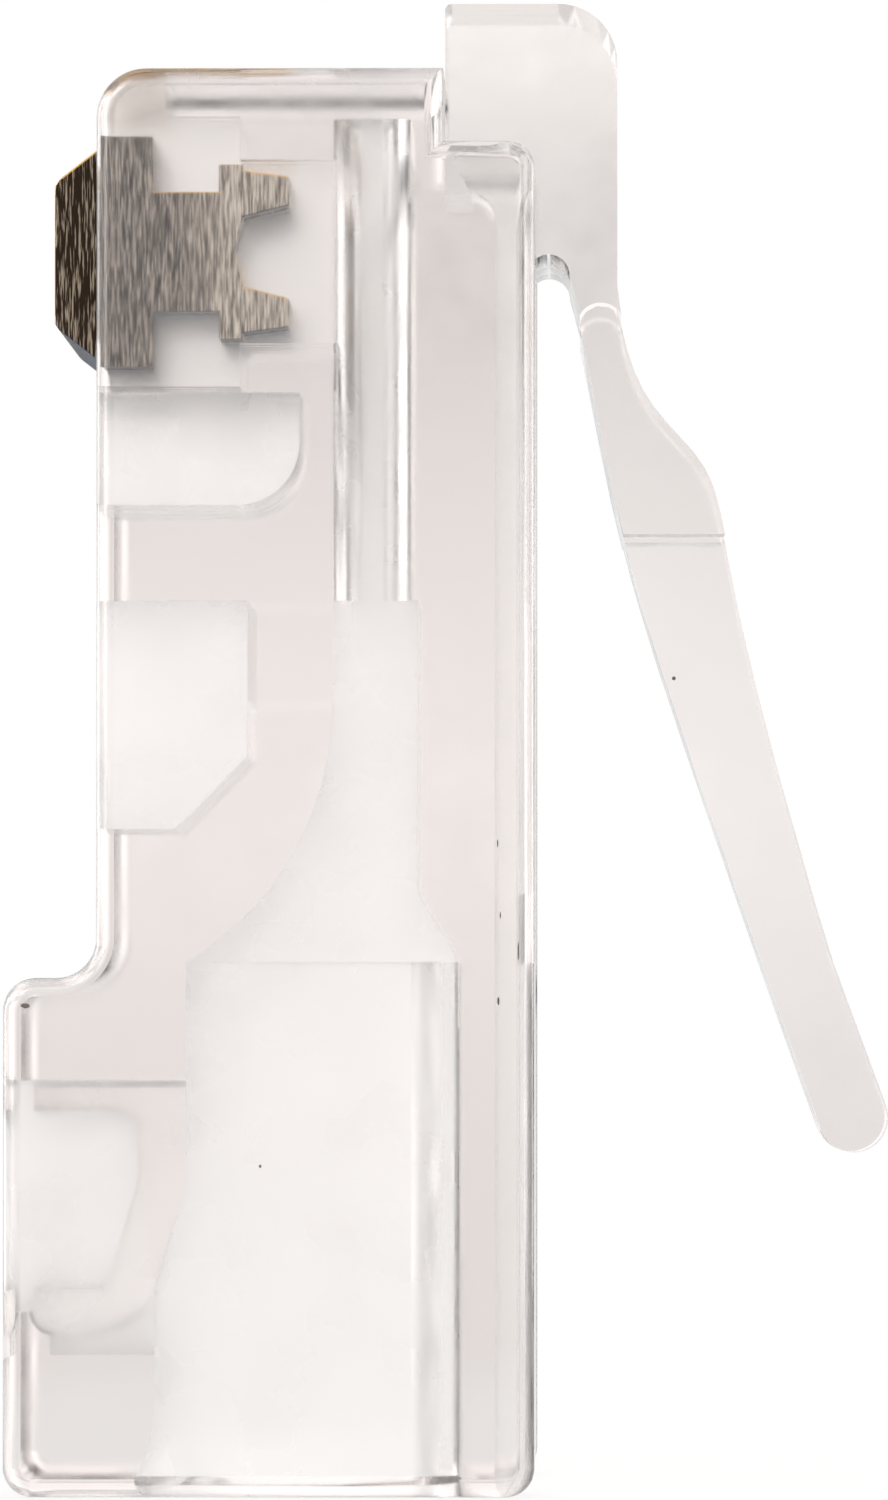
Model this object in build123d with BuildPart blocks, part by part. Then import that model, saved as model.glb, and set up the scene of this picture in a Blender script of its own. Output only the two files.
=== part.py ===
from build123d import *
import math
import os

# Eight-position modular plug: a clear moulded housing with its latch, two strain-relief
# clamps and eight blade contacts, as it leaves the maker and before it is crimped.
# It stands on its cable end. The nose points up (+Z), the contacts face -X,
# the latch is on the +X side and the width runs along Y.
# The origin is the middle of the cable-end face. Sizes are in millimetres, angles in degrees.

# Housing outline
body_width = 11.68
body_length = 21.5
front_height = 6.6
collar_step = 1.4
collar_length = 7.8
stop_depth = 1.38
stop_setback = 1.1
nose_radius = 0.75
collar_radius = 0.5
collar_root_radius = 0.6
cable_end_radius = 0.45
stop_radius = 0.4
side_edge_radius = 0.28

# Groove along the latch side, between two rails, with a deeper pocket under the latch root
groove_width = 6.7
groove_depth = 0.62
root_pocket_length = 0.7
root_pocket_radius = 0.35

# Contacts and their slots
contact_count = 8
contact_pitch = 1.016
contact_thickness = 0.35
contact_setback = 2.7
crown_proud = 0.71
crown_length = 3.3
crown_land = 2.2
crown_corner_radius = 0.3
head_length = 3.5
head_depth = 0.81
web_length = 1.82
web_depth = 1.0
bar_length = 2.65
bar_depth = 0.36
tine_length = 0.7
tine_width = 0.8
tine_slant = 0.18
throat_depth = 0.12
slot_clearance = 0.05
slot_end_gap = 0.3
inner_slot_end_gap = 0.07
seated_gap = 0.03
crimped_height = 6.02
nose_slot_depth = 1.0

# Wire channels behind the contacts
channel_rib = 0.156
channel_height = 1.19
channel_floor_wall = 1.25
channel_front_wall = 0.7
channel_breach_overlap = 0.16

# Pocket that keeps the moulding thin between the slots and the conductor clamp
core_pocket_setback = 4.85
core_pocket_length = 1.7
core_pocket_wall = 0.5
core_pocket_radius = 0.95

# Conductor clamp: a bar in the floor of its own pocket, which slides inward onto the wires
conductor_pocket_setback = 8.0
conductor_pocket_length = 3.45
conductor_pocket_heel = 1.1
conductor_clamp_depth = 1.29
conductor_clamp_length = 1.45
clamp_clearance = 0.05

# Cable entry: a wide pocket for the jacket and a narrower one for the conductors
side_wall = 1.09
jacket_pocket_height = 4.11
jacket_pocket_length = 8.04
jacket_pocket_wall = 0.53
jacket_pocket_corner = 0.72
entry_relief = 0.48
entry_relief_length = 3.1
entry_slope_length = 4.75
entry_flare = 0.5
entry_flare_length = 1.3
entry_lead_in = 0.3
conductor_side_margin = 0.114
conductor_floor_margin = 0.1
funnel_length = 11.95
funnel_floor_length = 9.1

# Jacket clamp: a cored wedge, which tips inward about a thin web at its cable end
jacket_clamp_width = 6.6
jacket_clamp_length = 3.4
jacket_clamp_knuckle = 0.3
jacket_clamp_recess = 0.4
jacket_clamp_setback = 2.75
jacket_clamp_heel_bulge = 0.28
jacket_clamp_front_wall = 0.36
jacket_clamp_inner_wall = 0.77
jacket_clamp_rear_wall = 0.35
jacket_clamp_core_radius = 0.3
jacket_window_front_gap = 0.1
jacket_window_rear_drop = 0.65
hinge_clearance = 0.05

# Latch
latch_width = 6.1
latch_overhang = 1.18
latch_root_proud = 1.25
latch_root_dip = 0.12
latch_root_radius = 0.9
latch_foot_radius = 0.1
latch_gap_radius = 0.32
latch_gap_setback = 2.65
latch_shoulder_setback = 8.1
lever_width = 3.25
web_thickness = 0.63
web_setback = 3.75
web_proud = 0.995
web_wrap = 0.16
ramp_foot_proud = 1.85
ramp_foot_setback = 5.03
ramp_brow_proud = 2.6
ramp_brow_setback = 5.94
ramp_proud = 2.89
ramp_thickness = 1.55
lever_waist_proud = 3.79
lever_waist_setback = 10.77
lever_waist_thickness = 1.25
lever_neck_proud = 4.51
lever_neck_setback = 13.26
lever_tip_radius = 0.535
lever_tip_setback = 15.83
lever_tip_proud = 4.875
lever_tip_angle = 20
web_slope = 0.2

# Planes and lines that the sizes above give
latch_face = (front_height + collar_step) / 2
collar_face = -latch_face
contact_face = latch_face - front_height
step_face = latch_face - stop_depth
stop_z = body_length - stop_setback
latch_front = body_length + latch_overhang
groove_floor = latch_face - groove_depth
root_pocket_rear = stop_z - root_pocket_length
outside = 1.0

# Contacts, their slots and the wire channels
row_y = [contact_pitch * (place - (contact_count - 1) / 2) for place in range(contact_count)]
slot_width = contact_thickness + 2 * slot_clearance
contact_z = body_length - contact_setback
head_inner = contact_face + head_depth
web_inner = head_inner + web_depth
bar_inner = web_inner + bar_depth
crown_outer = contact_face - crown_proud
contact_travel = latch_face - crimped_height - crown_outer
slot_floor = head_inner + contact_travel + seated_gap
slot_front = contact_z + head_length / 2 + slot_end_gap
slot_rear = contact_z - head_length / 2 - slot_end_gap
inner_slot_front = contact_z + bar_length / 2 + inner_slot_end_gap
inner_slot_rear = contact_z - bar_length / 2 - inner_slot_end_gap
channel_inner = groove_floor - channel_floor_wall
channel_outer = channel_inner - channel_height
channel_width = contact_pitch - channel_rib
channel_front = body_length - channel_front_wall

# Conductor clamp, its pocket and the conductor cavity, seen from the side
clamp_width = row_y[-1] - row_y[0] + channel_width + 2 * conductor_side_margin
conductor_roof = channel_outer
conductor_floor = channel_inner + conductor_floor_margin
core_floor = channel_outer - core_pocket_wall
core_front = body_length - core_pocket_setback
core_rear = core_front - core_pocket_length
pocket_floor = conductor_roof - conductor_clamp_depth
pocket_front = body_length - conductor_pocket_setback
pocket_rear = pocket_front - conductor_pocket_length
clamp_front = pocket_front - clamp_clearance
clamp_rear = clamp_front - conductor_clamp_length
channel_rear = pocket_front

# Jacket pocket and jacket clamp, seen from the side
jacket_floor = groove_floor - jacket_pocket_wall
entry_wall = jacket_floor - jacket_pocket_height
relief_wall = entry_wall - entry_relief
entry_flare_radius = (entry_flare_length**2 + entry_flare**2) / (2 * entry_flare)
jacket_pivot_x = collar_face + jacket_clamp_recess + jacket_clamp_knuckle
jacket_pivot_z = jacket_clamp_setback
jacket_clamp_outer = jacket_pivot_x - jacket_clamp_knuckle
jacket_clamp_front = jacket_pivot_z + jacket_clamp_length
jacket_core_front = jacket_clamp_front - jacket_clamp_front_wall
jacket_core_rear = jacket_pivot_z + jacket_clamp_rear_wall
jacket_window_front = jacket_clamp_front + jacket_window_front_gap
jacket_window_rear = jacket_pivot_z - jacket_window_rear_drop
jacket_seat_radius = jacket_clamp_knuckle + hinge_clearance

# Latch, seen from the side
latch_pivot_x = latch_face + web_proud
latch_pivot_z = body_length - web_setback
latch_knuckle = web_thickness / 2
latch_seat_radius = latch_knuckle + hinge_clearance
root_face = latch_face + latch_root_proud
strap_face = latch_face - latch_root_dip
gap_middle_x = strap_face + latch_gap_radius
gap_top_z = body_length - latch_gap_setback
gap_foot_z = gap_top_z - latch_gap_radius
shoulder_x = latch_face + ramp_proud
shoulder_z = latch_front - latch_shoulder_setback
waist_x = latch_face + lever_waist_proud
waist_z = body_length - lever_waist_setback
tip_x = latch_face + lever_tip_proud
tip_z = body_length - lever_tip_setback
tip_across = lever_tip_radius * math.cos(math.radians(lever_tip_angle))
tip_along = lever_tip_radius * math.sin(math.radians(lever_tip_angle))


def corner(profile, across, up):
    """The vertex of a side profile that lies nearest to the given point."""
    return profile.vertices().sort_by_distance((across, up, 0))[0]


# Housing
with BuildPart() as housing:
    # Full-width body: tall collar at the cable end, lower front, stepped nose
    with BuildSketch(Plane.XZ) as body_profile:
        with BuildLine():
            Polyline(
                (collar_face, 0),
                (latch_face, 0),
                (latch_face, stop_z),
                (step_face, stop_z),
                (step_face, body_length),
                (contact_face, body_length),
                (contact_face, collar_length),
                (collar_face, collar_length),
                close=True,
            )
        make_face()
        fillet(corner(body_profile, contact_face, body_length), nose_radius)
        fillet(corner(body_profile, contact_face, collar_length), collar_root_radius)
        fillet(corner(body_profile, collar_face, collar_length), collar_radius)
        fillet(corner(body_profile, collar_face, 0), cable_end_radius)
        fillet(corner(body_profile, latch_face, 0), cable_end_radius)
        fillet(corner(body_profile, latch_face, stop_z), stop_radius)
    extrude(amount=body_width / 2, both=True)
    side_edges = housing.edges().filter_by(Axis.Z).group_by(Axis.Y)
    fillet(side_edges[0] + side_edges[-1], side_edge_radius)

    # Groove between the two rails, stepping down to the pocket under the latch root
    with BuildSketch(Plane.XZ) as groove_profile:
        with BuildLine():
            Polyline(
                (groove_floor, -outside),
                (latch_face + outside, -outside),
                (latch_face + outside, stop_z + outside),
                (step_face, stop_z + outside),
                (step_face, root_pocket_rear),
                (groove_floor, root_pocket_rear),
                close=True,
            )
        make_face()
        fillet(corner(groove_profile, groove_floor, root_pocket_rear), root_pocket_radius)
    extrude(amount=groove_width / 2, both=True, mode=Mode.SUBTRACT)

    # Latch root: a strap that stands on the nose step, clears the groove and thins to a web
    with BuildSketch(Plane.XZ) as root_profile:
        with BuildLine():
            front_edge = Polyline(
                (strap_face, stop_z),
                (step_face, stop_z),
                (step_face, latch_front),
                (root_face, latch_front),
                (root_face, latch_pivot_z + web_thickness),
                (latch_pivot_x + latch_knuckle, latch_pivot_z + web_wrap),
                (latch_pivot_x - latch_knuckle, latch_pivot_z + web_wrap),
                (gap_middle_x + latch_gap_radius, gap_foot_z),
            )
            gap_arch = ThreePointArc(front_edge @ 1, (gap_middle_x, gap_top_z), (strap_face, gap_foot_z))
            Line(gap_arch @ 1, front_edge @ 0)
        make_face()
        fillet(corner(root_profile, root_face, latch_front), latch_root_radius)
        fillet(corner(root_profile, step_face, latch_front), latch_foot_radius)
        with Locations((latch_pivot_x, latch_pivot_z)):
            Circle(latch_seat_radius, mode=Mode.SUBTRACT)
    extrude(amount=latch_width / 2, both=True)

    # Eight wire channels, closed at the nose
    with BuildSketch(Plane.XY.offset(channel_rear)):
        with Locations(*[((channel_outer + channel_inner) / 2, y) for y in row_y]):
            SlotOverall(channel_height, channel_width)
    extrude(amount=channel_front - channel_rear, mode=Mode.SUBTRACT)

    # Contact slots: deep for the head, open to the channels for the tines, open through the nose
    with BuildSketch(*[Plane.XZ.offset(y) for y in row_y]):
        with BuildLine():
            Polyline(
                (contact_face - outside, slot_rear),
                (slot_floor, slot_rear),
                (slot_floor, inner_slot_rear),
                (channel_outer + channel_breach_overlap, inner_slot_rear),
                (channel_outer + channel_breach_overlap, inner_slot_front),
                (slot_floor, inner_slot_front),
                (slot_floor, slot_front),
                (contact_face + nose_slot_depth, slot_front),
                (contact_face + nose_slot_depth, body_length + outside),
                (contact_face - outside, body_length + outside),
                close=True,
            )
        make_face()
    extrude(amount=slot_width / 2, both=True, mode=Mode.SUBTRACT)

    # Core pocket, curved at its rear
    with BuildSketch(Plane.XZ) as core_profile:
        with BuildLine():
            Polyline(
                (contact_face - outside, core_front),
                (core_floor, core_front),
                (core_floor, core_rear),
                (contact_face - outside, core_rear),
                close=True,
            )
        make_face()
        fillet(corner(core_profile, core_floor, core_rear), core_pocket_radius)
    extrude(amount=clamp_width / 2, both=True, mode=Mode.SUBTRACT)

    # Pocket over the conductor clamp, and the clamp's own window in its floor
    with BuildSketch(Plane.XZ) as pocket_profile:
        with BuildLine():
            Polyline(
                (contact_face - outside, pocket_front),
                (pocket_floor, pocket_front),
                (pocket_floor, pocket_rear),
                (contact_face - outside, pocket_rear),
                close=True,
            )
        make_face()
        chamfer(corner(pocket_profile, pocket_floor, pocket_rear), conductor_pocket_heel)
    extrude(amount=clamp_width / 2 + clamp_clearance, both=True, mode=Mode.SUBTRACT)
    with BuildSketch(Plane.XZ):
        with BuildLine():
            Polyline(
                (pocket_floor - clamp_clearance, pocket_front),
                (conductor_roof + clamp_clearance, pocket_front),
                (conductor_roof + clamp_clearance, clamp_rear - clamp_clearance),
                (pocket_floor - clamp_clearance, clamp_rear - clamp_clearance),
                close=True,
            )
        make_face()
    extrude(amount=clamp_width / 2 + clamp_clearance, both=True, mode=Mode.SUBTRACT)

    # Conductor cavity: its roof runs off in one round sweep, so that it leads the wires in
    with BuildSketch(Plane.XZ):
        with BuildLine():
            cavity_end = Polyline(
                (conductor_roof, funnel_length),
                (conductor_roof, channel_rear),
                (conductor_floor, channel_rear),
                (conductor_floor, funnel_floor_length),
                (jacket_floor, jacket_pocket_length),
                (jacket_floor, jacket_pocket_length - outside),
                (entry_wall, jacket_pocket_length - outside),
                (entry_wall, jacket_pocket_length),
            )
            TangentArc(cavity_end @ 0, cavity_end @ 1, tangent=(0, -1))
        make_face()
    extrude(amount=clamp_width / 2 + clamp_clearance, both=True, mode=Mode.SUBTRACT)

    # Jacket pocket: its wall behind the clamp is relieved and flares out at the cable end
    with BuildPart(mode=Mode.PRIVATE) as jacket_pocket:
        with BuildSketch(Plane.XZ):
            with BuildLine():
                pocket_edge = Polyline(
                    (relief_wall, entry_flare_length),
                    (relief_wall, entry_relief_length),
                    (entry_wall, entry_slope_length),
                    (entry_wall, jacket_pocket_length),
                    (jacket_floor, jacket_pocket_length),
                    (jacket_floor, 0),
                    (relief_wall - entry_flare, 0),
                )
                RadiusArc(pocket_edge @ 1, pocket_edge @ 0, -entry_flare_radius)
            make_face()
        extrude(amount=body_width / 2 - side_wall, both=True)
        fillet(jacket_pocket.edges().filter_by(Axis.Z).group_by(Axis.X)[-1], jacket_pocket_corner)
    add(jacket_pocket.part, mode=Mode.SUBTRACT)
    cable_end = housing.faces().sort_by(Axis.Z)[0]
    mouth_edges = cable_end.inner_wires()[0].edges().sort_by(Axis.X)
    chamfer(mouth_edges[1:], entry_lead_in)

    # Window of the jacket clamp, with a round seat for its hinge web
    with BuildSketch(Plane.XZ):
        with BuildLine():
            Polyline(
                (collar_face - outside, jacket_window_front),
                (entry_wall + outside, jacket_window_front),
                (entry_wall + outside, jacket_window_rear),
                (jacket_pivot_x - hinge_clearance, jacket_window_rear),
                (jacket_pivot_x - hinge_clearance, jacket_pivot_z),
                (collar_face - outside, jacket_pivot_z),
                close=True,
            )
        make_face()
        with Locations((jacket_pivot_x, jacket_pivot_z)):
            Circle(jacket_seat_radius)
    extrude(amount=jacket_clamp_width / 2 + clamp_clearance, both=True, mode=Mode.SUBTRACT)

# Latch lever: a wide ramp with two shoulders, then a narrow thumb lever with a round tip
with BuildPart() as locking_tab:
    with BuildSketch(Plane.XZ):
        with BuildLine():
            web_line = Line(
                (latch_pivot_x - latch_knuckle, latch_pivot_z),
                (latch_pivot_x + latch_knuckle, latch_pivot_z),
            )
            outer_edge = Spline(
                web_line @ 1,
                (latch_face + ramp_foot_proud, body_length - ramp_foot_setback),
                (latch_face + ramp_brow_proud, body_length - ramp_brow_setback),
                (shoulder_x, shoulder_z),
                (waist_x, waist_z),
                (latch_face + lever_neck_proud, body_length - lever_neck_setback),
                (tip_x + tip_across, tip_z + tip_along),
                tangents=((web_slope, -1), (tip_along, -tip_across)),
            )
            inner_edge = Spline(
                web_line @ 0,
                (shoulder_x - ramp_thickness, shoulder_z),
                (waist_x - lever_waist_thickness, waist_z),
                (tip_x - tip_across, tip_z - tip_along),
                tangents=((web_slope, -1), (tip_along, -tip_across)),
            )
            ThreePointArc(outer_edge @ 1, (tip_x + tip_along, tip_z - tip_across), inner_edge @ 1)
        make_face()
        with Locations((latch_pivot_x, latch_pivot_z)):
            Circle(latch_knuckle)
    extrude(amount=latch_width / 2, both=True)
    with BuildSketch(Plane.XY.offset(shoulder_z)):
        with Locations(*[(tip_x, side * (lever_width + latch_width) / 2) for side in (1, -1)]):
            Rectangle(2 * lever_tip_proud, latch_width)
    extrude(amount=tip_z - lever_tip_radius - outside - shoulder_z, mode=Mode.SUBTRACT)

# Conductor clamp: a bar across the row of wires
with BuildPart() as conductor_clamp:
    with BuildSketch(Plane.XZ):
        with Locations(((pocket_floor + conductor_roof) / 2, (clamp_front + clamp_rear) / 2)):
            Rectangle(conductor_clamp_depth, conductor_clamp_length)
    extrude(amount=clamp_width / 2, both=True)

# Jacket clamp: a wedge that carries on the line of the cable pocket, cored from outside
with BuildPart() as jacket_clamp:
    with BuildSketch(Plane.XZ):
        with BuildLine():
            wedge_edge = Polyline(
                (jacket_pivot_x, jacket_pivot_z - jacket_clamp_knuckle),
                (jacket_pivot_x, jacket_pivot_z),
                (jacket_clamp_outer, jacket_pivot_z),
                (jacket_clamp_outer, jacket_clamp_front),
                (entry_wall, jacket_clamp_front),
                (entry_wall, entry_slope_length),
                (relief_wall, entry_relief_length),
            )
            SagittaArc(wedge_edge @ 1, wedge_edge @ 0, jacket_clamp_heel_bulge)
        make_face()
        with Locations((jacket_pivot_x, jacket_pivot_z)):
            Circle(jacket_clamp_knuckle)
    extrude(amount=jacket_clamp_width / 2, both=True)
    with BuildSketch(Plane.XZ) as wedge_core:
        with BuildLine():
            Polyline(
                (jacket_clamp_outer - outside, jacket_core_front),
                (entry_wall - jacket_clamp_inner_wall, jacket_core_front),
                (entry_wall - jacket_clamp_inner_wall, entry_slope_length),
                (relief_wall - jacket_clamp_inner_wall, jacket_core_rear),
                (jacket_clamp_outer - outside, jacket_core_rear),
                close=True,
            )
        make_face()
        fillet(
            corner(wedge_core, entry_wall - jacket_clamp_inner_wall, jacket_core_front),
            jacket_clamp_core_radius,
        )
    extrude(amount=jacket_clamp_width / 2 + clamp_clearance, both=True, mode=Mode.SUBTRACT)

# One blade contact, seen from the side: crown, head, web, bar and two tines
with BuildSketch(Plane.XZ) as blade_profile:
    with BuildLine():
        Polyline(
            (contact_face, contact_z + crown_length / 2),
            (crown_outer, contact_z + crown_land / 2),
            (crown_outer, contact_z - crown_land / 2),
            (contact_face, contact_z - crown_length / 2),
            close=True,
        )
    make_face()
    for end in (1, -1):
        fillet(corner(blade_profile, crown_outer, contact_z + end * crown_land / 2), crown_corner_radius)
    with Locations((contact_face + head_depth / 2, contact_z)):
        Rectangle(head_depth, head_length)
    with Locations((head_inner + web_depth / 2, contact_z)):
        Rectangle(web_depth, web_length)
    with Locations((web_inner + bar_depth / 2, contact_z)):
        Rectangle(bar_depth, bar_length)
    for end in (1, -1):
        tine_outer = contact_z + end * bar_length / 2
        tine_inner = tine_outer - end * tine_width
        with BuildLine():
            Polyline(
                (bar_inner, tine_outer - end * tine_slant / 2),
                (bar_inner + tine_length, tine_outer - end * tine_slant),
                (bar_inner + tine_length, tine_inner + end * tine_slant),
                (bar_inner, tine_inner),
                close=True,
            )
        make_face()
    with BuildLine():
        Polyline(
            (bar_inner, contact_z + bar_length / 2 - tine_width),
            (bar_inner - throat_depth, contact_z),
            (bar_inner, contact_z - bar_length / 2 + tine_width),
            close=True,
        )
    make_face(mode=Mode.SUBTRACT)

os.makedirs("parts", exist_ok=True)

for piece, node in (
    (housing, "housing"),
    (locking_tab, "locking_tab"),
    (conductor_clamp, "conductor_clamp"),
    (jacket_clamp, "jacket_clamp"),
):
    piece.part.label = node
    export_step(piece.part, f"parts/{node}.step")

for place, y in enumerate(row_y, start=1):
    with BuildPart() as contact:
        with BuildSketch(Plane.XZ.offset(-y)):
            add(blade_profile.sketch_local)
        extrude(amount=contact_thickness / 2, both=True)
    contact.part.label = f"contact_{place}"
    export_step(contact.part, f"parts/contact_{place}.step")
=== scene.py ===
"""Looks of a clear, uncrimped modular plug: moulded polycarbonate over eight blade contacts.

Every piece is in metres in the part's own frame: +Z to the nose, -X the contact side,
+X the latch side, Y across the width, and z = 0 at the cable end that the plug stands on.
"""

import logging
import math
from dataclasses import dataclass
from enum import Enum

import bmesh
import bpy
import numpy as np
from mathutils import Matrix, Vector

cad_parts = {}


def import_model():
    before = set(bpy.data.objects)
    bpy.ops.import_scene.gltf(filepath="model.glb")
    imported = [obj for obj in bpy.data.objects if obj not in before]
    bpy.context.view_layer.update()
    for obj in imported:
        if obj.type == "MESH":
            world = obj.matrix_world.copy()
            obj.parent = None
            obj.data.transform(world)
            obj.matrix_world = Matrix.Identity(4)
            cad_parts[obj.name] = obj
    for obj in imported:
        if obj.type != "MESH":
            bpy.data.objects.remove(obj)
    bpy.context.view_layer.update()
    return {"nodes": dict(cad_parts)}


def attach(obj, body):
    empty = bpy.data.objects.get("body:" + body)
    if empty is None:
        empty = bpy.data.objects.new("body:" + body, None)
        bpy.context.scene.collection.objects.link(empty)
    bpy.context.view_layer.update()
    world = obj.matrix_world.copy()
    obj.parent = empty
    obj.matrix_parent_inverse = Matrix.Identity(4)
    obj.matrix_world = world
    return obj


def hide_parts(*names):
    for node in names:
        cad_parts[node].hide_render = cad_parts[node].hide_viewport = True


LOG = logging.getLogger("modular_plug")
MM = 0.001

Colour = tuple[float, float, float, float]
Stops = tuple[tuple[float, float], ...]
WHITE: Colour = (1.0, 1.0, 1.0, 1.0)


class Body(Enum):
    """The rigid bodies that the dressed pieces ride on."""

    PLUG = "plug_body"
    LATCH = "latch"
    CONDUCTOR_CLAMP = "conductor_clamp"
    JACKET_CLAMP = "jacket_clamp"


class Skin(Enum):
    """The face attributes that say how a moulding's face was formed."""

    CORED = "cored"
    INSIDE = "inside_web"


def linear(hex_colour: str) -> Colour:
    """Turn an sRGB hex colour into the linear colour that shaders hold.

    Args:
        hex_colour: Six hex digits after a hash, as on a colour card.

    Returns:
        Red, green and blue in linear light, and an alpha of one.
    """
    channels = (int(hex_colour[i : i + 2], 16) / 255 for i in (1, 3, 5))
    values = [c / 12.92 if c <= 0.04045 else ((c + 0.055) / 1.055) ** 2.4 for c in channels]
    return (*values, 1.0)


def add_node(
    tree: bpy.types.NodeTree, kind: str, inputs: dict | None = None, **settings: object
) -> bpy.types.Node:
    """Add a shader node with its settings, values and links.

    Args:
        tree: The node tree that gets the node.
        kind: The node's type name.
        inputs: Socket name or number to a value, or to an output socket to link from.
        settings: Attributes of the node itself.

    Returns:
        The new node.
    """
    node = tree.nodes.new(kind)
    for name, value in settings.items():
        setattr(node, name, value)
    for name, value in (inputs or {}).items():
        if isinstance(value, bpy.types.NodeSocket):
            tree.links.new(value, node.inputs[name])
        else:
            node.inputs[name].default_value = value
    return node


def blank_material(name: str) -> tuple[bpy.types.Material, bpy.types.NodeTree, bpy.types.Node]:
    """Make a material that holds only its output node.

    Args:
        name: The material's name.

    Returns:
        The material, its node tree and its output node.
    """
    material = bpy.data.materials.new(name)
    material.use_nodes = True
    tree = material.node_tree
    tree.nodes.clear()
    return material, tree, tree.nodes.new("ShaderNodeOutputMaterial")


@dataclass(frozen=True)
class ClearPolycarbonate:
    """Injection-moulded clear polycarbonate: glassy outside, faintly warm in its depth.

    The tint is what the resin takes from light that crosses it, so a thick wall looks warmer
    and darker than a thin one. Faces that a polished mould block forms are glassy, and those
    that a ground core forms are satin, which spreads the light behind them into a milky glow.
    The skin's haze comes and goes in soft patches along the mould's slow ripple. Inside a thin
    web, where one moulding carries on into the other, there is no face, so light passes unbent.
    """

    name: str = "clear_polycarbonate_moulded"
    skin_haze: str = "#FCFBFA"  # what one glassy skin lets through
    polished: float = 0.1  # roughness under a polished mould block
    satin: float = 0.3  # roughness over a fully ground core
    index: float = 1.585  # the resin's own
    ripple_mm: float = 0.9
    ripple_depth_mm: float = 0.004
    ripple_strength: float = 0.25
    ripple_detail: float = 2.0
    ripple_roughness: float = 0.45
    patch_heights: tuple[float, float] = (0.35, 0.7)
    patch_haze: tuple[float, float] = (0.75, 1.4)
    absorbed_tint: str = "#E5DCDA"
    absorption: float = 42.0  # how dense the tint is, for each metre of resin

    def build(self) -> bpy.types.Material:
        """Make the material: a refracting skin, the mould's ripple and a tinted depth.

        Returns:
            The finished material.
        """
        material, tree, out = blank_material(self.name)
        place = add_node(tree, "ShaderNodeTexCoord").outputs["Object"]
        ripple = add_node(
            tree,
            "ShaderNodeTexNoise",
            {
                "Vector": place,
                "Scale": 1 / (self.ripple_mm * MM),
                "Detail": self.ripple_detail,
                "Roughness": self.ripple_roughness,
            },
        )
        bump = add_node(
            tree,
            "ShaderNodeBump",
            {
                "Height": ripple.outputs["Fac"],
                "Strength": self.ripple_strength,
                "Distance": self.ripple_depth_mm * MM,
            },
        )
        cored = add_node(tree, "ShaderNodeAttribute", attribute_name=Skin.CORED.value)
        any_core = add_node(
            tree, "ShaderNodeMath", {0: cored.outputs["Fac"], 1: 0.0}, operation="GREATER_THAN"
        )
        finish = add_node(
            tree,
            "ShaderNodeMix",
            {0: cored.outputs["Fac"], 2: self.polished, 3: self.satin},
            data_type="FLOAT",
        )
        patches = add_node(
            tree,
            "ShaderNodeMapRange",
            {
                "Value": ripple.outputs["Fac"],
                "From Min": self.patch_heights[0],
                "From Max": self.patch_heights[1],
                "To Min": self.patch_haze[0],
                "To Max": self.patch_haze[1],
            },
        )
        haze = add_node(
            tree,
            "ShaderNodeMath",
            {0: finish.outputs[0], 1: patches.outputs["Result"]},
            operation="MULTIPLY",
        )
        veil = add_node(
            tree,
            "ShaderNodeMix",
            {0: any_core.outputs[0], 6: linear(self.skin_haze), 7: WHITE},
            data_type="RGBA",
        )
        skin = add_node(
            tree,
            "ShaderNodeBsdfPrincipled",
            {
                "Base Color": veil.outputs[2],
                "IOR": self.index,
                "Transmission Weight": 1.0,
                "Roughness": haze.outputs[0],
                "Normal": bump.outputs["Normal"],
            },
        )
        unbent = add_node(tree, "ShaderNodeBsdfTransparent", {"Color": WHITE})
        inside = add_node(tree, "ShaderNodeAttribute", attribute_name=Skin.INSIDE.value)
        surface = add_node(
            tree,
            "ShaderNodeMixShader",
            {0: inside.outputs["Fac"], 1: skin.outputs["BSDF"], 2: unbent.outputs["BSDF"]},
        )
        depth = add_node(
            tree,
            "ShaderNodeVolumeAbsorption",
            {"Color": linear(self.absorbed_tint), "Density": self.absorption},
        )
        tree.links.new(surface.outputs["Shader"], out.inputs["Surface"])
        tree.links.new(depth.outputs["Volume"], out.inputs["Volume"])
        return material


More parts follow.
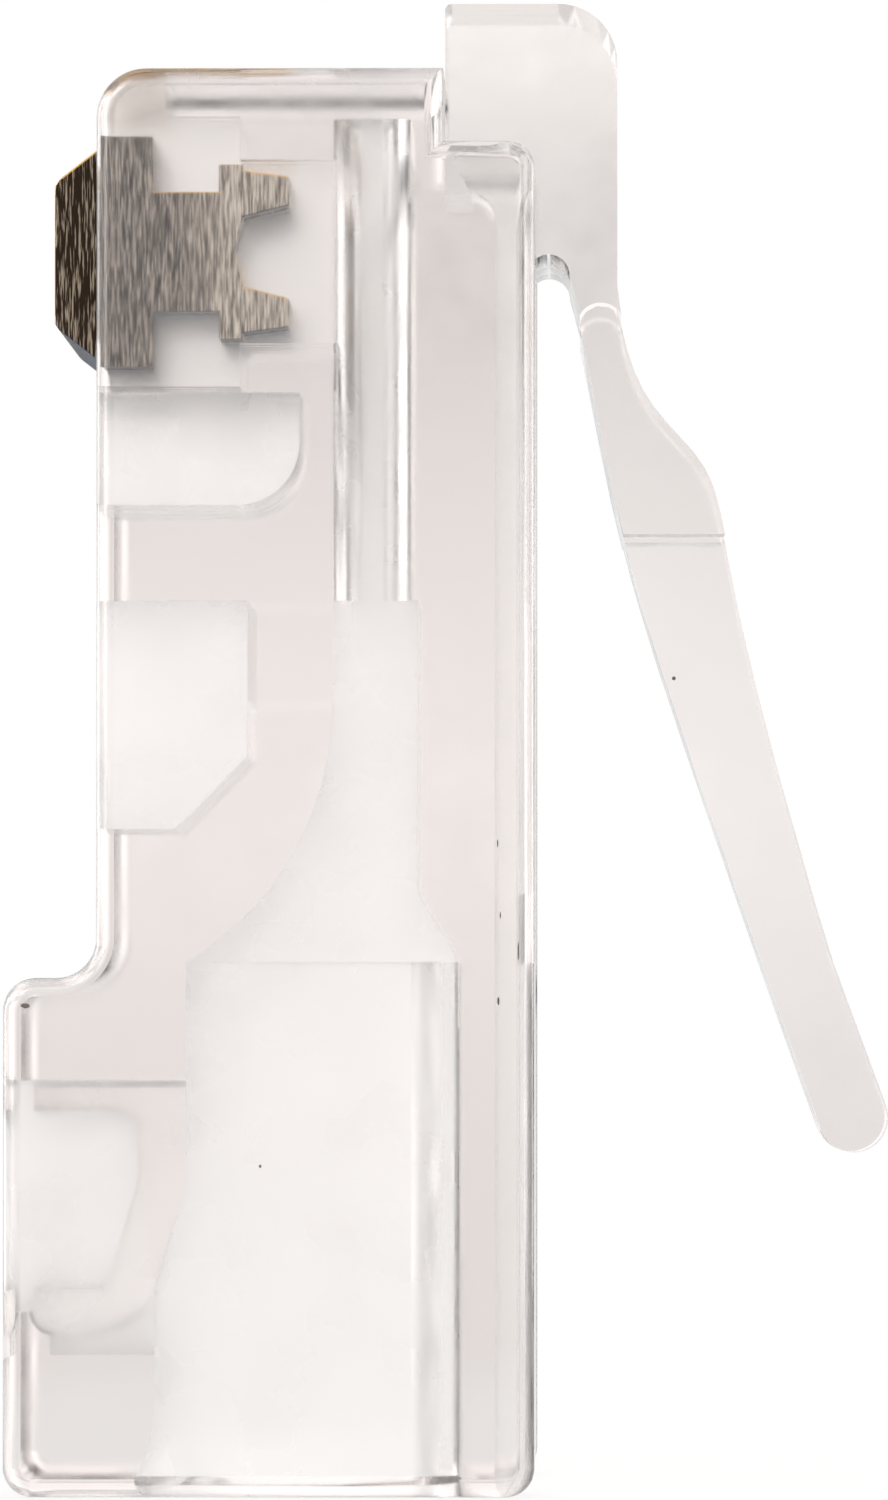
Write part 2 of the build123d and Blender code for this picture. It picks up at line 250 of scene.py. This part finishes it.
@dataclass(frozen=True)
class RolledBronze:
    """Phosphor bronze strip, rolled along the blade, stamped, then flashed with gold.

    Rolling leaves fine short streaks along Z. Real ones are finer than the picture shows, so
    they are drawn as coarse as they need to be seen. Painted shade darkens the strip from the
    tines toward the crown, and more painted shade makes the crown darker and browner still.
    The face that meets the jack's spring is gold. The edges are coloured by which way they face:
    those that face up have the plating's gold as a painted highlight, and those that face down
    have a painted shade of dark blue-grey.
    """

    name: str = "gold_flashed_phosphor_bronze_rolled"
    bright: str = "#CDC4B8"
    flank: str = "#A0978C"
    streak: str = "#58514A"
    # painted shade: darker copies of the flank's colours, used toward the crown
    shaded_bright: str = "#AAA096"
    shaded_flank: str = "#655D56"
    shaded_streak: str = "#221E1B"
    shaded_x_mm: tuple[float, float] = (-1.35, -0.7)  # the dark end ends, the bright begins
    # painted shade: the crown, out in the air, gets these darker, browner colours
    crown_painted_shade_bright: str = "#A49482"
    crown_painted_shade_streak: str = "#31271F"
    crown_x_mm: float = -2.66
    crown_fade_mm: float = 0.1
    # painted highlight: the plating's gold on edges that face up; painted shade: dark blue-grey
    # on edges that face down
    gold_painted_highlight_edge: str = "#E0AE58"
    painted_shade_edge: str = "#46505E"
    edge_tilt: tuple[float, float] = (0.1, 0.35)  # how far an edge leans up, from none to full
    gold_face: str = "#C99B4C"
    face_tilt: tuple[float, float] = (-0.6, -0.9)
    streak_mm: tuple[float, float, float] = (0.024, 0.2, 0.34)
    streak_detail: float = 2.5
    streak_strength: float = 0.4
    streak_depth_mm: float = 0.004
    streak_heights: tuple[float, float, float] = (0.36, 0.5, 0.66)
    roughness: float = 0.34

    def build(self) -> bpy.types.Material:
        """Make the material: streaked metal, painted shade on the crown and the lower edges,
        and the plating's gold as a painted highlight on the upper edges.

        Returns:
            The finished material.
        """
        material, tree, out = blank_material(self.name)
        spots = add_node(tree, "ShaderNodeTexCoord")
        place = spots.outputs["Object"]
        stretch = add_node(
            tree,
            "ShaderNodeMapping",
            {"Vector": place, "Scale": tuple(1 / (length * MM) for length in self.streak_mm)},
        )
        grain = add_node(
            tree,
            "ShaderNodeTexNoise",
            {"Vector": stretch.outputs["Vector"], "Scale": 1.0, "Detail": self.streak_detail},
        )
        # the shaded and the crown colour sets are painted shade over the same streaks
        bright, shaded, crown = (
            self.streaks(tree, grain.outputs["Fac"], shades)
            for shades in (
                (self.streak, self.flank, self.bright),
                (self.shaded_streak, self.shaded_flank, self.shaded_bright),
                (self.crown_painted_shade_streak, self.crown_painted_shade_streak, self.crown_painted_shade_bright),
            )
        )
        across = add_node(tree, "ShaderNodeSeparateXYZ", {"Vector": place})
        # painted shade: this share fades the flank from its shaded colours to its bright ones
        inward = add_node(
            tree,
            "ShaderNodeMapRange",
            {
                "Value": across.outputs["X"],
                "From Min": self.shaded_x_mm[0] * MM,
                "From Max": self.shaded_x_mm[1] * MM,
            },
        )
        flank = add_node(
            tree,
            "ShaderNodeMix",
            {0: inward.outputs["Result"], 6: shaded, 7: bright},
            data_type="RGBA",
        )
        # painted shade: this share gives the crown its darker colours
        outside = add_node(
            tree,
            "ShaderNodeMapRange",
            {
                "Value": across.outputs["X"],
                "From Min": self.crown_x_mm * MM,
                "From Max": (self.crown_x_mm + self.crown_fade_mm) * MM,
                "To Min": 1.0,
                "To Max": 0.0,
            },
        )
        colour = add_node(
            tree,
            "ShaderNodeMix",
            {0: outside.outputs["Result"], 6: flank.outputs[2], 7: crown},
            data_type="RGBA",
        )
        facing = add_node(tree, "ShaderNodeSeparateXYZ", {"Vector": spots.outputs["Normal"]})
        # edges that face up get the painted highlight, those that face down the painted shade;
        # the face toward -X is the plating's gold
        for shade, axis, (none, full) in (
            (self.gold_painted_highlight_edge, "Z", self.edge_tilt),
            (self.painted_shade_edge, "Z", tuple(-tilt for tilt in self.edge_tilt)),
            (self.gold_face, "X", self.face_tilt),
        ):
            share = add_node(
                tree,
                "ShaderNodeMapRange",
                {"Value": facing.outputs[axis], "From Min": none, "From Max": full},
            )
            colour = add_node(
                tree,
                "ShaderNodeMix",
                {0: share.outputs["Result"], 6: colour.outputs[2], 7: linear(shade)},
                data_type="RGBA",
            )
        bump = add_node(
            tree,
            "ShaderNodeBump",
            {
                "Height": grain.outputs["Fac"],
                "Strength": self.streak_strength,
                "Distance": self.streak_depth_mm * MM,
            },
        )
        metal = add_node(
            tree,
            "ShaderNodeBsdfPrincipled",
            {
                "Base Color": colour.outputs[2],
                "Metallic": 1.0,
                "Roughness": self.roughness,
                "Normal": bump.outputs["Normal"],
            },
        )
        tree.links.new(metal.outputs["BSDF"], out.inputs["Surface"])
        return material

    def streaks(
        self, tree: bpy.types.NodeTree, grain: bpy.types.NodeSocket, shades: tuple[str, str, str]
    ) -> bpy.types.NodeSocket:
        """Turn the grain into three shades, dark in its furrows and bright on its ridges.

        Args:
            tree: The material's node tree.
            grain: The grain's height.
            shades: Hex colours of the furrows, of the mean and of the ridges.

        Returns:
            The socket that carries the colour.
        """
        ramp = add_node(tree, "ShaderNodeValToRGB", {"Fac": grain})
        fill_ramp(ramp, list(zip(self.streak_heights, map(linear, shades))))
        return ramp.outputs["Color"]


@dataclass(frozen=True)
class BurntResin:
    """A speck of resin that charred in the barrel: matt, dark brown, with paler ash in it."""

    name: str = "charred_resin_speck"
    char: str = "#4A4038"
    ash: str = "#7A6E62"
    grain_mm: float = 0.02
    roughness: float = 0.8

    def build(self) -> bpy.types.Material:
        """Make the material: a rough dark solid with a faint grain.

        Returns:
            The finished material.
        """
        material, tree, out = blank_material(self.name)
        place = add_node(tree, "ShaderNodeTexCoord").outputs["Object"]
        grain = add_node(
            tree, "ShaderNodeTexNoise", {"Vector": place, "Scale": 1 / (self.grain_mm * MM)}
        )
        shade = add_node(
            tree,
            "ShaderNodeMix",
            {0: grain.outputs["Fac"], 6: linear(self.char), 7: linear(self.ash)},
            data_type="RGBA",
        )
        matt = add_node(
            tree,
            "ShaderNodeBsdfPrincipled",
            {"Base Color": shade.outputs[2], "Roughness": self.roughness},
        )
        tree.links.new(matt.outputs["BSDF"], out.inputs["Surface"])
        return material


@dataclass(frozen=True)
class MattWhiteCard:
    """Matt white card: as white as the paper behind it, with the plug's own soft shadow.

    Where it is seen, mirrored or looked at through the plug, most of it is an even white and
    the rest is card that takes light and shadow. Through the plug it is a little darker, the
    more so the flatter the look along it.
    """

    name: str = "matt_white_card"
    card: str = "#F4F4F2"
    even_share: float = 0.8
    seen_level: float = 1.02
    steep_level: float = 0.93
    grazed_level: float = 0.88
    slants: tuple[float, float] = (0.7, 0.96)

    def build(self) -> bpy.types.Material:
        """Make the material: plain card under an even white.

        Returns:
            The finished material.
        """
        material, tree, out = blank_material(self.name)
        rays = add_node(tree, "ShaderNodeLightPath")
        seen = add_node(
            tree,
            "ShaderNodeMath",
            {0: rays.outputs["Is Camera Ray"], 1: rays.outputs["Is Glossy Ray"]},
            operation="MAXIMUM",
        )
        seen_through = add_node(
            tree,
            "ShaderNodeMath",
            {0: seen.outputs[0], 1: rays.outputs["Is Transmission Ray"]},
            operation="MAXIMUM",
        )
        share = add_node(
            tree,
            "ShaderNodeMath",
            {0: seen_through.outputs[0], 1: self.even_share},
            operation="MULTIPLY",
        )
        card = add_node(tree, "ShaderNodeBsdfDiffuse", {"Color": linear(self.card)})
        slant = add_node(tree, "ShaderNodeLayerWeight")
        lit = add_node(
            tree,
            "ShaderNodeMapRange",
            {
                "Value": slant.outputs["Facing"],
                "From Min": self.slants[0],
                "From Max": self.slants[1],
                "To Min": self.steep_level,
                "To Max": self.grazed_level,
            },
        )
        strength = add_node(
            tree,
            "ShaderNodeMix",
            {
                0: rays.outputs["Is Transmission Ray"],
                2: self.seen_level,
                3: lit.outputs["Result"],
            },
            data_type="FLOAT",
        )
        white = add_node(
            tree, "ShaderNodeEmission", {"Color": WHITE, "Strength": strength.outputs[0]}
        )
        mix = add_node(
            tree,
            "ShaderNodeMixShader",
            {0: share.outputs[0], 1: card.outputs["BSDF"], 2: white.outputs["Emission"]},
        )
        tree.links.new(mix.outputs["Shader"], out.inputs["Surface"])
        return material


def fill_ramp(ramp: bpy.types.Node, stops: list[tuple[float, Colour]]) -> bpy.types.Node:
    """Put the stops on a ramp, the outer two first, since a ramp sorts its stops as it goes.

    Args:
        ramp: The ramp node, with its two first stops.
        stops: Places from 0 to 1 and their colours, in order.

    Returns:
        The ramp node.
    """
    steps = ramp.color_ramp.elements
    for step, (place, colour) in zip(steps, (stops[0], stops[-1])):
        step.position, step.color = place, colour
    for place, colour in stops[1:-1]:
        steps.new(place).color = colour
    return ramp


@dataclass(frozen=True)
class Backdrop:
    """White paper to the camera, with soft shades in what shows through the plug.

    A level is a share of white. What shows through the plug has one for each slope of the
    ray, its rise for each unit of length, and is a little lower toward the latch. Rays that
    leave sideways, off an inside wall, meet the bright sides of the room. What the skin
    mirrors is pale and even, with one bright card at each side.
    """

    name: str = "studio"
    paper: str = "#FFFBF9"
    by_slope: Stops = (
        (-0.6, 1.3),
        (-0.15, 0.98),
        (-0.03, 0.85),
        (0.002, 0.89),
        (0.01, 0.99),
        (0.018, 1.05),
        (0.026, 1.0),
        (0.0356, 0.93),
        (0.044, 0.9),
        (0.0523, 0.84),
        (0.0606, 0.72),
        (0.0686, 0.53),
        (0.0735, 0.82),
        (0.078, 1.1),
        (0.088, 1.14),
        (0.15, 1.12),
        (0.6, 1.35),
    )
    reach: float = 0.6  # the slopes that the ramp covers, down and up
    peak: float = 1.4  # a ramp holds nothing over one, so levels are shares of this one
    latch_side: tuple[float, float] = (0.003, 0.012)
    latch_level: float = 0.92
    sideways: float = 1.4
    sideways_x: Stops = ((0.05, 0.0), (0.25, 1.0), (0.5, 1.0), (0.66, 0.0))
    mirrored: float = 0.95
    side_cards: float = 4.0
    side_cards_x: Stops = ((0.72, 0.0), (0.8, 1.0), (0.9, 1.0), (0.96, 0.0))

    def build(self) -> None:
        """Make the world: white where seen, shaded by direction where looked at through."""
        world = bpy.data.worlds.new(self.name)
        bpy.context.scene.world = world
        world.use_nodes = True
        tree = world.node_tree
        tree.nodes.clear()
        out = tree.nodes.new("ShaderNodeOutputWorld")
        rays = add_node(tree, "ShaderNodeLightPath")
        direction = add_node(tree, "ShaderNodeTexCoord").outputs["Generated"]
        parts = add_node(tree, "ShaderNodeSeparateXYZ", {"Vector": direction})
        through = self.seen_through(tree, parts)
        aside = add_node(tree, "ShaderNodeMath", {0: parts.outputs["X"]}, operation="ABSOLUTE")
        card = add_node(
            tree,
            "ShaderNodeMix",
            {
                0: self.by_side(tree, aside.outputs[0], self.side_cards_x),
                2: self.mirrored / self.peak,
                3: self.side_cards / self.peak,
            },
            data_type="FLOAT",
        )
        turned = add_node(
            tree,
            "ShaderNodeMix",
            {
                0: self.by_side(tree, aside.outputs[0], self.sideways_x),
                6: through,
                7: self.warm(self.sideways),
            },
            data_type="RGBA",
        )
        white = add_node(
            tree,
            "ShaderNodeMix",
            {0: rays.outputs["Is Glossy Ray"], 2: 1.0 / self.peak, 3: card.outputs[0]},
            data_type="FLOAT",
        )
        level = add_node(
            tree,
            "ShaderNodeMix",
            {0: rays.outputs["Is Transmission Ray"], 6: white.outputs[0], 7: turned.outputs[2]},
            data_type="RGBA",
        )
        background = add_node(
            tree, "ShaderNodeBackground", {"Color": level.outputs[2], "Strength": self.peak}
        )
        tree.links.new(background.outputs["Background"], out.inputs["Surface"])

    def seen_through(
        self, tree: bpy.types.NodeTree, parts: bpy.types.Node
    ) -> bpy.types.NodeSocket:
        """Shade the backdrop by the ray's slope, and lower it toward the latch.

        Args:
            tree: The world's node tree.
            parts: The node that splits the ray's direction.

        Returns:
            The socket that carries the shade, as a share of the peak.
        """
        height = add_node(
            tree,
            "ShaderNodeMapRange",
            {"Value": parts.outputs["Z"], "From Min": -self.reach, "From Max": self.reach},
        )
        shade = fill_ramp(
            add_node(tree, "ShaderNodeValToRGB", {"Fac": height.outputs["Result"]}),
            [((slope / self.reach + 1) / 2, self.warm(level)) for slope, level in self.by_slope],
        )
        latchward = add_node(
            tree,
            "ShaderNodeMapRange",
            {
                "Value": parts.outputs["X"],
                "From Min": self.latch_side[0],
                "From Max": self.latch_side[1],
                "To Min": 1.0,
                "To Max": self.latch_level,
            },
        )
        behind = add_node(
            tree,
            "ShaderNodeVectorMath",
            {0: shade.outputs["Color"], "Scale": latchward.outputs["Result"]},
            operation="SCALE",
        )
        return behind.outputs[0]

    def by_side(
        self, tree: bpy.types.NodeTree, aside: bpy.types.NodeSocket, stops: Stops
    ) -> bpy.types.NodeSocket:
        """Turn how far a ray leans to either side into a share.

        Args:
            tree: The world's node tree.
            aside: How far the ray leans to either side.
            stops: Leans and their shares.

        Returns:
            The socket that carries the share.
        """
        ramp = add_node(tree, "ShaderNodeValToRGB", {"Fac": aside})
        fill_ramp(ramp, [(lean, (share, share, share, 1.0)) for lean, share in stops])
        return ramp.outputs["Color"]

    def warm(self, level: float) -> Colour:
        """Give a level, as a share of the peak, the faint warmth of the paper."""
        return (*(level / self.peak * part for part in linear(self.paper)[:3]), 1.0)


@dataclass(frozen=True)
class SoftBox:
    """A square soft box: where it hangs, how wide it is and its power in watts."""

    name: str
    place_mm: tuple[float, float, float]
    side_mm: float
    power: float

    def hang(self, aim_mm: tuple[float, float, float]) -> None:
        """Hang the lamp and turn it to what it lights.

        Args:
            aim_mm: The point that it faces.
        """
        data = bpy.data.lights.new(self.name, "AREA")
        data.shape = "SQUARE"
        data.size = self.side_mm * MM
        data.energy = self.power
        lamp = bpy.data.objects.new(self.name, data)
        lamp.location = Vector(self.place_mm) * MM
        lamp.rotation_mode = "QUATERNION"
        aim = Vector(aim_mm) * MM - lamp.location
        lamp.rotation_quaternion = aim.to_track_quat("-Z", "Y")
        bpy.context.scene.collection.objects.link(lamp)


@dataclass
class Studio:
    """The plain pale floor, the backdrop, two soft boxes and the camera.

    The camera stands 180 mm from the plug's near side, level with a point about a third of
    the way up, as the photograph's own perspective shows.
    """

    picture_height_px: int = 1500
    scale_px_per_mm: float = 66.6
    axis_mm: tuple[float, float] = (4.677, 7.06)
    near_side_mm: float = -5.84
    distance_mm: float = 180.0
    centre_mm: tuple[float, float] = (2.635, 11.22)
    sensor_mm: float = 36.0
    clip_m: tuple[float, float] = (0.01, 10.0)
    boxes: tuple[SoftBox, ...] = (
        SoftBox("soft_box_left", (-160, -190, 210), 110, 0.12),
        SoftBox("soft_box_right", (190, -120, 150), 90, 0.06),
    )
    aim_mm: tuple[float, float, float] = (0, 0, 10)
    floor_gap_mm: float = 0.02
    floor_half_mm: float = 60.0
    bounces: int = 32

    def build(self) -> None:
        """Make the camera, the world, the lamps and the floor."""
        self.build_camera()
        Backdrop().build()
        for box in self.boxes:
            box.hang(self.aim_mm)
        self.build_floor()
        bpy.context.scene.view_settings.view_transform = "Standard"

    def build_camera(self) -> None:
        """Aim an undistorted camera at the middle of the picture."""
        data = bpy.data.cameras.new("camera")
        camera = bpy.data.objects.new("camera", data)
        bpy.context.scene.collection.objects.link(camera)
        stand_mm = self.near_side_mm - self.distance_mm
        eye = Vector((self.axis_mm[0], stand_mm, self.axis_mm[1])) * MM
        target = Vector((self.centre_mm[0], self.near_side_mm, self.centre_mm[1])) * MM
        camera.location = eye
        camera.rotation_mode = "QUATERNION"
        camera.rotation_quaternion = (target - eye).to_track_quat("-Z", "Y")
        tall = self.picture_height_px / self.scale_px_per_mm * MM
        data.sensor_width = self.sensor_mm
        data.lens = self.sensor_mm * (target - eye).length / tall
        data.clip_start, data.clip_end = self.clip_m
        bpy.context.scene.camera = camera

    def build_floor(self) -> None:
        """Lay the white card, a hair under the plug."""
        half, low = self.floor_half_mm * MM, -self.floor_gap_mm * MM
        corners = [(-half, -half, low), (half, -half, low), (half, half, low), (-half, half, low)]
        mesh = bpy.data.meshes.new("floor")
        mesh.from_pydata(corners, [], [(0, 1, 2, 3)])
        mesh.materials.append(MattWhiteCard().build())
        floor = bpy.data.objects.new("floor", mesh)
        bpy.context.scene.collection.objects.link(floor)

    def allow_paths(self) -> None:
        """Let light cross all the walls of the plug, and keep its small highlights sharp."""
        cycles = bpy.context.scene.cycles
        cycles.blur_glossy = 0.0
        cycles.max_bounces = self.bounces
        cycles.transmission_bounces = self.bounces
        cycles.transparent_max_bounces = self.bounces


@dataclass(frozen=True)
class Zone:
    """A box in the part's millimetres that marks some of a moulding's faces.

    The share says how satin those faces are, from none to a fully ground core.
    """

    low_mm: tuple[float, float, float]
    high_mm: tuple[float, float, float]
    share: float = 1.0

    def holds(self, spot: Vector) -> bool:
        """Tell whether a point in metres lies inside."""
        box = zip(self.low_mm, spot, self.high_mm)
        return all(low * MM < place < high * MM for low, place, high in box)


@dataclass(frozen=True)
class Ring:
    """A thin ring round an axis along Y, which marks the faces of a rolled joint."""

    axis_mm: tuple[float, float]
    radii_mm: tuple[float, float]
    floor_mm: float

    def holds(self, spot: Vector) -> bool:
        """Tell whether a point in metres lies inside."""
        reach = math.hypot(spot.x - self.axis_mm[0] * MM, spot.z - self.axis_mm[1] * MM)
        inner, outer = self.radii_mm
        return inner * MM < reach < outer * MM and spot.z > self.floor_mm * MM


@dataclass
class MouldedPiece:
    """One clear moulding: the node's own shape with smooth curves and softened edges.

    The shape is the node's mesh, joined at its seams. Its edges get the small radius that a
    mould's corners leave, its curved walls shade smoothly and those square to an axis stay
    flat, its cored faces are satin, and the faces inside a web let light through unbent.
    """

    node: str
    body: Body
    cored: tuple[Zone, ...] = ()
    webs: tuple[Zone | Ring, ...] = ()
    cuts_mm: tuple[tuple[str, float], ...] = ()
    edge_radius_mm: float = 0.02
    edge_steps: int = 2
    edge_angle_deg: float = 28.0
    flat_side: float = 0.9999  # a normal this near an axis is square to it
    seam_mm: float = 0.0005
    cut_seam_mm: float = 0.0001

    def build(self, source: bpy.types.Object, resin: bpy.types.Material) -> bpy.types.Object:
        """Build the moulding and put it in place of its node.

        Args:
            source: The node's own object.
            resin: The clear polycarbonate.

        Returns:
            The finished piece.
        """
        mesh = source.data.copy()
        mesh.materials.clear()
        mesh.materials.append(resin)
        work = bmesh.new()
        work.from_mesh(mesh)
        bmesh.ops.remove_doubles(work, verts=work.verts, dist=self.seam_mm * MM)
        for axis, place in self.cuts_mm:
            self.cut(work, axis, place)
        self.mark_faces(work)
        self.mark_edges(work)
        work.to_mesh(mesh)
        work.free()
        piece = bpy.data.objects.new(f"{self.node}_moulding", mesh)
        bpy.context.scene.collection.objects.link(piece)
        bevel = piece.modifiers.new("mould_radius", "BEVEL")
        bevel.width = self.edge_radius_mm * MM
        bevel.segments = self.edge_steps
        bevel.limit_method = "WEIGHT"
        shade = piece.modifiers.new("flat_walls", "WEIGHTED_NORMAL")
        shade.keep_sharp = True
        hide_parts(self.node)
        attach(piece, self.body.value)
        return piece

    def cut(self, work: bmesh.types.BMesh, axis: str, place_mm: float) -> None:
        """Split the faces that cross a plane, so that a zone can end there.

        Args:
            work: The mesh.
            axis: The axis that the plane is square to, x or z.
            place_mm: Where the plane stands along it.
        """
        normal = Vector((axis == "x", 0.0, axis == "z"))
        bmesh.ops.bisect_plane(
            work,
            geom=[*work.verts, *work.edges, *work.faces],
            dist=self.cut_seam_mm * MM,
            plane_co=normal * place_mm * MM,
            plane_no=normal,
        )

    def mark_faces(self, work: bmesh.types.BMesh) -> None:
        """Mark the satin faces and those inside a web, by where their middles lie.

        Args:
            work: The mesh.
        """
        cored = work.faces.layers.float.new(Skin.CORED.value)
        inside = work.faces.layers.float.new(Skin.INSIDE.value)
        for face in work.faces:
            spot = face.calc_center_median()
            face.smooth = max(abs(part) for part in face.normal) < self.flat_side
            face[cored] = next((zone.share for zone in self.cored if zone.holds(spot)), 0.0)
            face[inside] = float(any(web.holds(spot) for web in self.webs))

    def mark_edges(self, work: bmesh.types.BMesh) -> None:
        """Mark the corners that get a radius, and keep those of a web sharp.

        Args:
            work: The mesh, with its faces marked.
        """
        weight = work.edges.layers.float.new("bevel_weight_edge")
        inside = work.faces.layers.float[Skin.INSIDE.value]
        least = math.radians(self.edge_angle_deg)
        for edge in work.edges:
            if len(edge.link_faces) == 2 and edge.calc_face_angle() > least:
                at_web = any(face[inside] for face in edge.link_faces)
                edge.smooth = not at_web
                edge[weight] = float(not at_web)


@dataclass
class Blade:
    """The contacts' finish on one node: the stamped blade with the edge that the punch rolls.

    Its shortest straight is about as long as the rolled edge is wide, so the edge is let
    overlap there.
    """

    edge_radius_mm: float = 0.024
    edge_steps: int = 2
    edge_angle_deg: float = 40.0
    seam_mm: float = 0.001

    def build(self, source: bpy.types.Object, bronze: bpy.types.Material) -> None:
        """Dress the node's own object.

        Args:
            source: The node's object.
            bronze: The finish of rolled and flashed bronze.
        """
        source.data.materials.clear()
        source.data.materials.append(bronze)
        seams = source.modifiers.new("joined_seams", "WELD")
        seams.merge_threshold = self.seam_mm * MM
        edge = source.modifiers.new("punched_edge", "BEVEL")
        edge.width = self.edge_radius_mm * MM
        edge.segments = self.edge_steps
        edge.use_clamp_overlap = False
        edge.limit_method = "ANGLE"
        edge.angle_limit = math.radians(self.edge_angle_deg)


@dataclass(frozen=True)
class Speck:
    """One small mark in the resin, as an ellipsoid: its middle and half sizes, in mm."""

    middle_mm: tuple[float, float, float]
    halves_mm: tuple[float, float, float]


@dataclass
class Specks:
    """The few charred specks of a moulding, as one piece."""

    name: str
    body: Body
    specks: tuple[Speck, ...]
    rings: int = 7
    around: int = 10

    def build(self, char: bpy.types.Material) -> bpy.types.Object:
        """Build the specks as closed ellipsoids.

        Each point is the middle plus the half sizes times a point of the unit ball.

        Args:
            char: The finish of charred resin.

        Returns:
            The finished piece.
        """
        ball = self.ball()
        quads, fans = self.ball_faces(len(ball))
        middles = np.array([speck.middle_mm for speck in self.specks])[:, None] * MM
        halves = np.array([speck.halves_mm for speck in self.specks])[:, None] * MM
        points = (middles + halves * ball).reshape(-1, 3)
        starts = np.arange(len(self.specks))[:, None, None] * len(ball)
        quads, fans = (starts + quads).reshape(-1, 4), (starts + fans).reshape(-1, 3)
        mesh = bpy.data.meshes.new(self.name)
        mesh.from_pydata(points.tolist(), [], quads.tolist() + fans.tolist())
        mesh.shade_smooth()
        mesh.materials.append(char)
        piece = bpy.data.objects.new(self.name, mesh)
        bpy.context.scene.collection.objects.link(piece)
        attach(piece, self.body.value)
        return piece

    def ball(self) -> np.ndarray:
        """Work out the points of a unit ball, ring by ring, with its two poles last.

        A point is the cosine of its latitude times the cosine and the sine of its longitude,
        and the sine of its latitude.

        Returns:
            One row of x, y and z for each point.
        """
        latitudes = np.linspace(-np.pi / 2, np.pi / 2, self.rings + 2)[1:-1]
        longitudes = np.linspace(0, 2 * np.pi, self.around, endpoint=False)
        lat, lon = np.meshgrid(latitudes, longitudes, indexing="ij")
        grid = np.stack([np.cos(lat) * np.cos(lon), np.cos(lat) * np.sin(lon), np.sin(lat)], -1)
        return np.concatenate([grid.reshape(-1, 3), [(0, 0, -1), (0, 0, 1)]])

    def ball_faces(self, count: int) -> tuple[np.ndarray, np.ndarray]:
        """Join each ring to the next, and the outer rings to the poles.

        Args:
            count: How many points the ball has.

        Returns:
            The faces of four corners between the rings, and those of three at the poles.
        """
        here = np.arange(self.around)
        after = (here + 1) % self.around
        ring = np.arange(self.rings - 1)[:, None] * self.around
        above = ring + self.around
        quads = np.stack([ring + here, ring + after, above + after, above + here], -1)
        top = (self.rings - 1) * self.around
        south, north = (np.full(self.around, pole) for pole in (count - 2, count - 1))
        fans = np.stack([(south, after, here), (north, top + here, top + after)])
        return quads.reshape(-1, 4), fans.transpose(0, 2, 1).reshape(-1, 3)


def mouldings() -> tuple[MouldedPiece, ...]:
    """List the clear mouldings with their cored zones and webs.

    Returns:
        The housing, the latch and the two clamps.
    """
    hinge = (4.995, 17.75)
    return (
        MouldedPiece(
            "housing",
            Body.PLUG,
            cored=(
                Zone((0.92, -4.17, 13.49), (2.9, 4.17, 20.81), 0.9),  # wire channels
                Zone((-2.59, -4.17, 16.7), (0.95, 4.17, 20.79), 0.05),  # contact slots
                Zone((-2.59, -4.17, 7.9), (2.9, 4.17, 20.79)),  # pockets and cavity
                Zone((-2.3, -4.77, 0.02), (2.9, 4.77, 8.1)),  # jacket pocket
                Zone((-3.98, -3.4, 2.0), (-1.2, 3.4, 6.3)),  # the jacket clamp's window
                Zone((-2.61, -5.85, 21.2), (4.1, -5.57, 21.52), 0.6),  # near nose edge
                Zone((-2.61, 5.57, 21.2), (4.1, 5.85, 21.52), 0.6),  # far nose edge
            ),
            webs=(
                Ring(hinge, (0.33, 0.37), 17.88),
                Zone((-0.349, -4.16, 11.94), (0.939, 4.16, 13.51)),
            ),
            cuts_mm=(("x", -0.35), ("x", 0.94), ("z", 11.95)),
        ),
        MouldedPiece("locking_tab", Body.LATCH, webs=(Ring(hinge, (0.29, 0.32), 17.9),)),
        MouldedPiece(
            "conductor_clamp",
            Body.CONDUCTOR_CLAMP,
            webs=(Zone((-0.34, -4.2, 11.9), (0.93, 4.2, 13.6)),),
        ),
        MouldedPiece(
            "jacket_clamp",
            Body.JACKET_CLAMP,
            cored=(Zone((-3.98, -3.4, 2.0), (-2.0, 3.4, 5.9)),),
        ),
    )


def specks() -> tuple[Specks, ...]:
    """List the charred specks that the clear mouldings hold.

    Returns:
        One group for each moulding that has any.
    """
    return (
        Specks(
            "housing_specks",
            Body.PLUG,
            (
                Speck((-3.655, -5.6, 7.38), (0.065, 0.03, 0.038)),
                Speck((-0.13, -5.5, 4.97), (0.02, 0.02, 0.025)),
                Speck((3.44, -5.6, 9.82), (0.01, 0.02, 0.06)),
                Speck((3.48, -5.6, 8.74), (0.01, 0.02, 0.05)),
                Speck((3.74, -5.6, 8.2), (0.008, 0.02, 0.14)),
                Speck((3.45, -5.6, 7.45), (0.018, 0.02, 0.06)),
            ),
        ),
        Specks("latch_specks", Body.LATCH, (Speck((6.12, -1.5, 12.42), (0.03, 0.02, 0.03)),)),
    )


def main() -> None:
    """Load the frame, dress the plug and report each piece."""
    logging.basicConfig(level=logging.INFO, format="%(message)s")
    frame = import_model()
    studio = Studio()
    studio.build()
    resin = ClearPolycarbonate().build()
    for moulding in mouldings():
        piece = moulding.build(frame["nodes"][moulding.node], resin)
        LOG.info("%s: %d faces", piece.name, len(piece.data.polygons))
    bronze = RolledBronze().build()
    for name, node in frame["nodes"].items():
        if name.startswith("contact"):
            Blade().build(node, bronze)
            LOG.info("%s: dressed", name)
    char = BurntResin().build()
    for group in specks():
        piece = group.build(char)
        LOG.info("%s: %d faces", piece.name, len(piece.data.polygons))
    studio.allow_paths()


if __name__ == "__main__":
    main()
